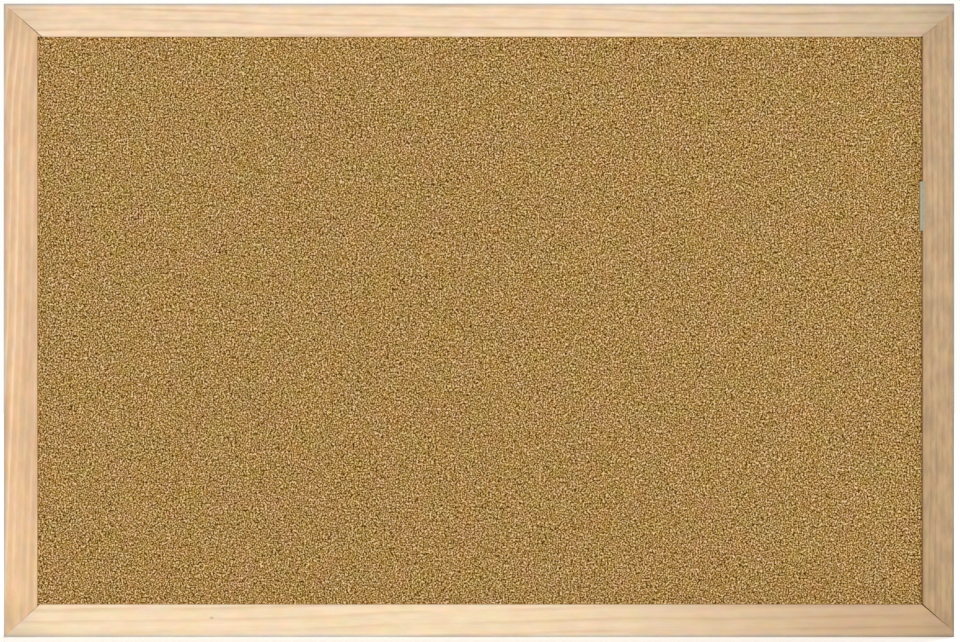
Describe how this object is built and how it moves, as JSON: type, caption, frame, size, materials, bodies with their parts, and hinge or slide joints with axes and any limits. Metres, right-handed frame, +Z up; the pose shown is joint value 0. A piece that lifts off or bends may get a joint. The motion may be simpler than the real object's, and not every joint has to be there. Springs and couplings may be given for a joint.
{
  "type": "cork bulletin board",
  "caption": "Rectangular wall-hung pinboard: pressed cork field in a mitred pine frame, closed back, swinging wire rings on straps and round rubber bumpers behind.",
  "frame": {"origin": "on the wall that the board hangs on, behind the middle of the board: the plane of the bumper faces, 4 mm behind the back of the frame", "axes": "+X to the right of a person who faces the board, +Y from the board into the wall, +Z up"},
  "size_m": [0.6, 0.0192, 0.4],
  "materials": {
    "pine_top_rail": "matte",
    "pine_bottom_rail": "matte",
    "pine_left_stile": "matte",
    "pine_right_stile": "matte",
    "cork": "matte",
    "soft_fibreboard": "matte",
    "hardboard": "matte",
    "bright_steel": "satin",
    "dark_steel": "satin",
    "plated_steel": "satin",
    "plated_screw": "satin",
    "plated_wire": "satin",
    "bumper_rubber": "matte",
    "label_paper": "matte"
  },
  "bodies": {
    "board": {"top_rail": "pine_top_rail", "bottom_rail": "pine_bottom_rail", "left_stile": "pine_left_stile", "right_stile": "pine_right_stile", "cork_sheet": "cork", "core_board": "soft_fibreboard", "back_panel": "hardboard", "v_nails_top_left": "bright_steel", "v_nails_top_right": "bright_steel", "v_nails_bottom_left": "bright_steel", "v_nails_bottom_right": "bright_steel", "panel_points_top": "dark_steel", "panel_points_bottom": "dark_steel", "panel_points_left": "dark_steel", "panel_points_right": "dark_steel", "left_hanger_strap": "plated_steel", "left_hanger_screw": "plated_screw", "right_hanger_strap": "plated_steel", "right_hanger_screw": "plated_screw", "left_bumper": "bumper_rubber", "right_bumper": "bumper_rubber", "edge_label": "label_paper"},
    "left_ring": {"left_hanger_ring": "plated_wire"},
    "right_ring": {"right_hanger_ring": "plated_wire"}
  },
  "joints": [
    {"name": "left_ring_swing", "type": "hinge", "parent": "board", "child": "left_ring", "pos_m": [-0.2912, -0.0022, 0.11], "axis": [-1, 0, 0], "range_deg": [0, 186]},
    {"name": "right_ring_swing", "type": "hinge", "parent": "board", "child": "right_ring", "pos_m": [0.2912, -0.0022, 0.11], "axis": [-1, 0, 0], "range_deg": [0, 186]}
  ]
}
